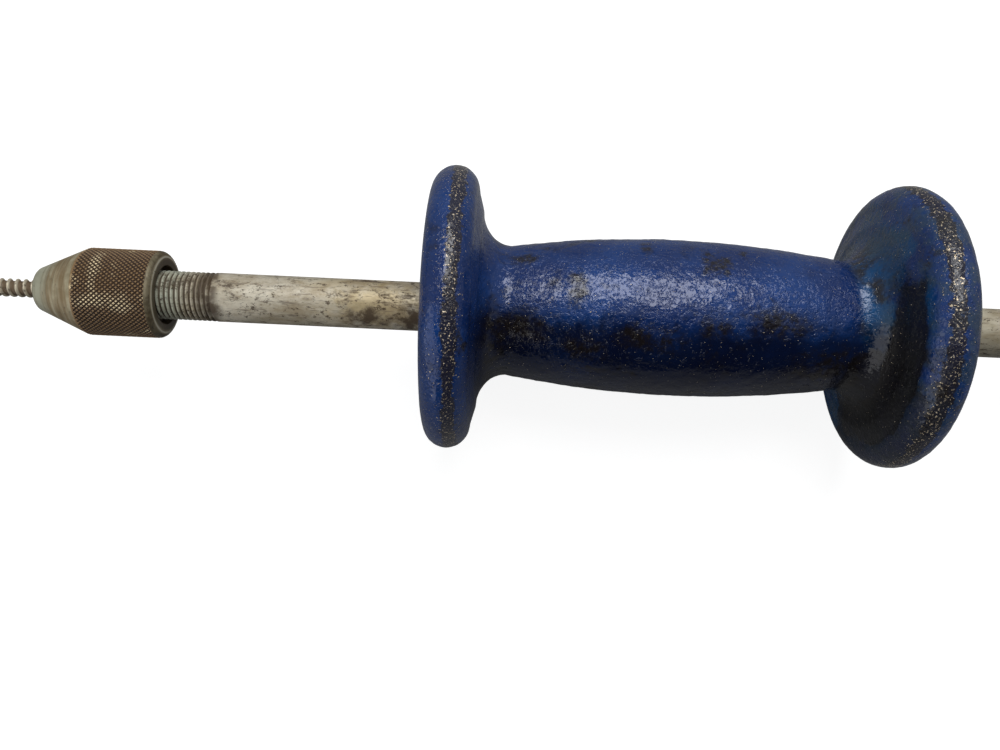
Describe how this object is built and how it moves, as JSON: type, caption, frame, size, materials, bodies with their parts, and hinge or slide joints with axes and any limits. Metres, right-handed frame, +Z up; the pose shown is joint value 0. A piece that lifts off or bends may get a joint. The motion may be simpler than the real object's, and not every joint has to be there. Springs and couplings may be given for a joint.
{
  "type": "slide hammer",
  "caption": "Slide hammer for pulling dents: a spool-shaped weight slides on a threaded rod with a knurled conical nose that holds a tapping screw.",
  "frame": {"origin": "on the rod's axis, in the plane of the nose's front face, where the pull screw comes out", "axes": "+X along the rod from the nose to the grip, +Z up; the tool lies on its weight's two flanges"},
  "size_m": [0.559, 0.0724, 0.0724],
  "materials": {
    "plated_rod": "satin, worn",
    "bare_steel": "satin, soiled",
    "screw_steel": "satin, soiled",
    "blue_paint": "gloss paint on rough casting",
    "plated_fittings": "zinc plated",
    "spring_steel": "dark spring steel",
    "black_rubber": "matte"
  },
  "bodies": {
    "rod": {"pull_rod": "plated_rod", "stop_collar": "plated_fittings", "stop_pin": "spring_steel", "front_grip_washer": "plated_fittings", "grip_tube": "plated_fittings", "grip_sleeve": "black_rubber", "rear_grip_washer": "plated_fittings", "lock_washer": "spring_steel", "end_nut": "plated_fittings"},
    "weight": {"slide_weight": "blue_paint"},
    "screw": {"pull_screw": "screw_steel"},
    "nose": {"nose_chuck": "bare_steel"}
  },
  "joints": [
    {"name": "weight_slide", "type": "slide", "parent": "rod", "child": "weight", "axis": [1, 0, 0], "range_m": [-0.0666, 0.1521]},
    {"name": "screw_slide", "type": "slide", "parent": "rod", "child": "screw", "axis": [-1, 0, 0], "range_m": [0, 0.01905]},
    {"name": "nose_unscrew", "type": "hinge", "parent": "screw", "child": "nose", "pos_m": [0, 0, 0], "axis": [-1, 0, 0], "range_deg": [0, 5400]}
  ],
  "couplings": [
    {"joint": "screw_slide", "follows": "nose_unscrew", "m_per_rad": 0.00020213}
  ]
}
